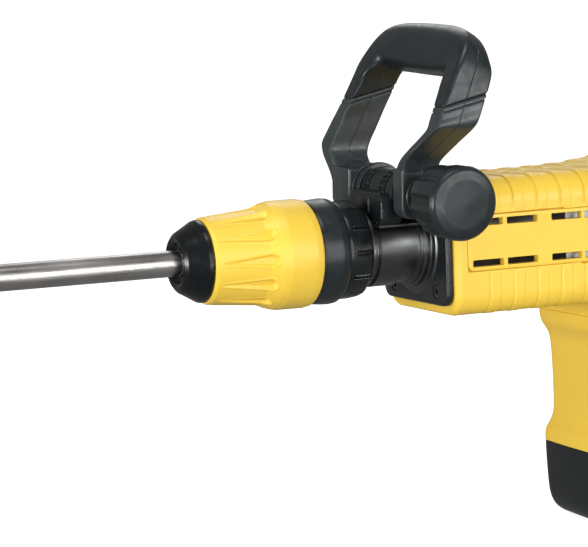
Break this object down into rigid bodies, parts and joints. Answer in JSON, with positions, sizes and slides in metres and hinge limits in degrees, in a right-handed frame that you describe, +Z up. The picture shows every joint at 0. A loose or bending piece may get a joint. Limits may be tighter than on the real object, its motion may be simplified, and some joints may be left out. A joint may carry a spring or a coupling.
{
  "type": "electric demolition hammer",
  "caption": "Electric demolition hammer with a point chisel, locking sleeve, swivelling loop side handle with clamp knob, vertical motor column and damped rear D-handle.",
  "frame": {"origin": "on the striking axis, on the chisel shaft at the mouth of the dust cap", "axes": "X along the striking axis with the chisel towards -X and the rear handle towards +X, Z up with the motor column hanging towards -Z, -Y the side of the clamp knob"},
  "size_m": [0.862, 0.1809, 0.3758],
  "materials": {
    "yellow_plastic": "semi-gloss moulded ABS",
    "black_plastic": "satin moulded nylon",
    "black_rubber": "matte rubber",
    "bright_steel": "ground steel",
    "dark_steel": "blackened steel",
    "cast_alloy": "as cast",
    "copper": "enamelled copper",
    "black_casting": "black powder coat",
    "soft_grip": "soft-touch moulded rubber",
    "forged_steel": "ground and shot-blasted",
    "bronze": "sintered bronze",
    "satin_barrel": "dark satin turned metal",
    "carbon": "pressed carbon",
    "red_plastic": "satin moulded"
  },
  "bodies": {
    "housing": {"barrel_housing": "satin_barrel", "nose_ring": "satin_barrel", "front_bushing": "bronze", "front_flange": "black_casting", "flange_screws": "dark_steel", "gearcase": "cast_alloy", "cylinder": "bright_steel", "crank_bearings": "bright_steel", "motor_bearings": "bright_steel", "stator": "dark_steel", "field_coils": "copper", "brush_holders": "bronze", "carbon_brushes": "carbon", "housing_left": "yellow_plastic", "housing_right": "yellow_plastic", "side_panel_left": "yellow_plastic", "side_panel_right": "yellow_plastic", "housing_screws": "dark_steel", "motor_housing": "yellow_plastic", "motor_end_cap": "black_plastic", "end_cap_screws": "dark_steel", "handle_pin": "bright_steel", "handle_boot": "black_rubber"},
    "tool_holder": {"tool_holder": "dark_steel", "dust_cap": "black_rubber", "locking_rollers": "bright_steel", "sleeve_spring": "bright_steel"},
    "locking_sleeve": {"locking_sleeve": "yellow_plastic", "sleeve_rear_band": "soft_grip"},
    "angle_ring": {"angle_ring": "black_plastic"},
    "chisel": {"chisel": "forged_steel"},
    "impact_bolt": {"impact_bolt": "bright_steel"},
    "striker": {"striker": "bright_steel", "striker_o_ring": "black_rubber"},
    "piston": {"piston": "cast_alloy", "piston_o_ring": "black_rubber", "wrist_pin": "bright_steel"},
    "connecting_rod": {"connecting_rod": "cast_alloy"},
    "crank": {"crankshaft": "bright_steel", "crank_gear": "dark_steel"},
    "armature": {"armature_shaft": "bright_steel", "armature_core": "dark_steel", "commutator": "copper", "cooling_fan": "black_plastic"},
    "side_clamp": {"clamp_band": "satin_barrel", "clamp_saddle": "black_plastic", "pivot_bolt": "bright_steel"},
    "loop_handle": {"loop_frame": "black_plastic", "loop_grip": "soft_grip"},
    "pressure_washer": {"pressure_washer": "black_plastic"},
    "side_knob": {"side_knob": "black_plastic"},
    "rear_handle": {"rear_handle_left": "black_plastic", "rear_handle_right": "black_plastic", "grip_pad": "soft_grip", "handle_screws": "dark_steel", "switch_module": "black_plastic", "cable_gland": "black_rubber"},
    "trigger": {"trigger": "red_plastic"},
    "lock_button": {"lock_button": "red_plastic"},
    "speed_dial": {"speed_dial": "black_plastic"}
  },
  "joints": [
    {"name": "holder_turn", "type": "hinge", "parent": "housing", "child": "tool_holder", "pos_m": [0.1, 0, 0], "axis": [1, 0, 0], "continuous": true},
    {"name": "sleeve_slide", "type": "slide", "parent": "tool_holder", "child": "locking_sleeve", "axis": [1, 0, 0], "range_m": [0, 0.009], "stiffness_N_per_m": 1500, "springref_m": -0.003, "deforming": ["sleeve_spring"]},
    {"name": "angle_ring_slide", "type": "slide", "parent": "tool_holder", "child": "angle_ring", "axis": [-1, 0, 0], "range_m": [0, 0.004], "stiffness_N_per_m": 1500, "springref_m": -0.003},
    {"name": "chisel_slide", "type": "slide", "parent": "tool_holder", "child": "chisel", "axis": [-1, 0, 0], "range_m": [0, 0.012]},
    {"name": "impact_bolt_slide", "type": "slide", "parent": "tool_holder", "child": "impact_bolt", "axis": [-1, 0, 0], "range_m": [0, 0.012]},
    {"name": "striker_slide", "type": "slide", "parent": "housing", "child": "striker", "axis": [1, 0, 0], "range_m": [0, 0.016]},
    {"name": "piston_slide", "type": "slide", "parent": "housing", "child": "piston", "axis": [1, 0, 0], "range_m": [0, 0.028]},
    {"name": "rod_swing", "type": "hinge", "parent": "piston", "child": "connecting_rod", "pos_m": [0.258, 0, 0], "axis": [0, 0, 1], "range_deg": [-13.4, 13.4]},
    {"name": "crank_spin", "type": "hinge", "parent": "housing", "child": "crank", "pos_m": [0.332, 0, 0], "axis": [0, 0, 1], "continuous": true},
    {"name": "armature_spin", "type": "hinge", "parent": "housing", "child": "armature", "pos_m": [0.372, 0, -0.1], "axis": [0, 0, 1], "continuous": true},
    {"name": "side_handle_turn", "type": "hinge", "parent": "housing", "child": "side_clamp", "pos_m": [0.15, 0, 0], "axis": [1, 0, 0], "range_deg": [-180, 180]},
    {"name": "loop_tilt", "type": "hinge", "parent": "side_clamp", "child": "loop_handle", "pos_m": [0.165, -0.00181, 0.03996], "axis": [0, 0.999, 0.0454], "range_deg": [-80, 40]},
    {"name": "washer_slide", "type": "slide", "parent": "side_clamp", "child": "pressure_washer", "axis": [0, -0.999, -0.0454], "range_m": [0, 0.0025]},
    {"name": "knob_turn", "type": "hinge", "parent": "pressure_washer", "child": "side_knob", "pos_m": [0.165, -0.00181, 0.03996], "axis": [0, -0.999, -0.0454], "range_deg": [0, 720]},
    {"name": "rear_handle_rock", "type": "hinge", "parent": "housing", "child": "rear_handle", "pos_m": [0.447, 0, -0.1725], "axis": [0, 1, 0], "range_deg": [-1.2, 1.2], "stiffness_Nm_per_rad": 600, "deforming": ["handle_boot"]},
    {"name": "trigger_squeeze", "type": "hinge", "parent": "rear_handle", "child": "trigger", "pos_m": [0.507, 0, -0.007], "axis": [0, -1, 0], "range_deg": [0, 8], "stiffness_Nm_per_rad": 1, "springref_deg": -5.73},
    {"name": "lock_button_press", "type": "slide", "parent": "rear_handle", "child": "lock_button", "axis": [0, 1, 0], "range_m": [0, 0.003], "stiffness_N_per_m": 400, "springref_m": -0.001},
    {"name": "speed_dial_turn", "type": "hinge", "parent": "rear_handle", "child": "speed_dial", "pos_m": [0.472, 0, 0.0455], "axis": [0, 1, 0], "range_deg": [0, 270]}
  ],
  "couplings": [
    {"joint": "impact_bolt_slide", "follows": "chisel_slide", "ratio": 1},
    {"joint": "armature_spin", "follows": "crank_spin", "ratio": -5.4},
    {"joint": "washer_slide", "follows": "knob_turn", "m_per_rad": 0.00019894}
  ]
}
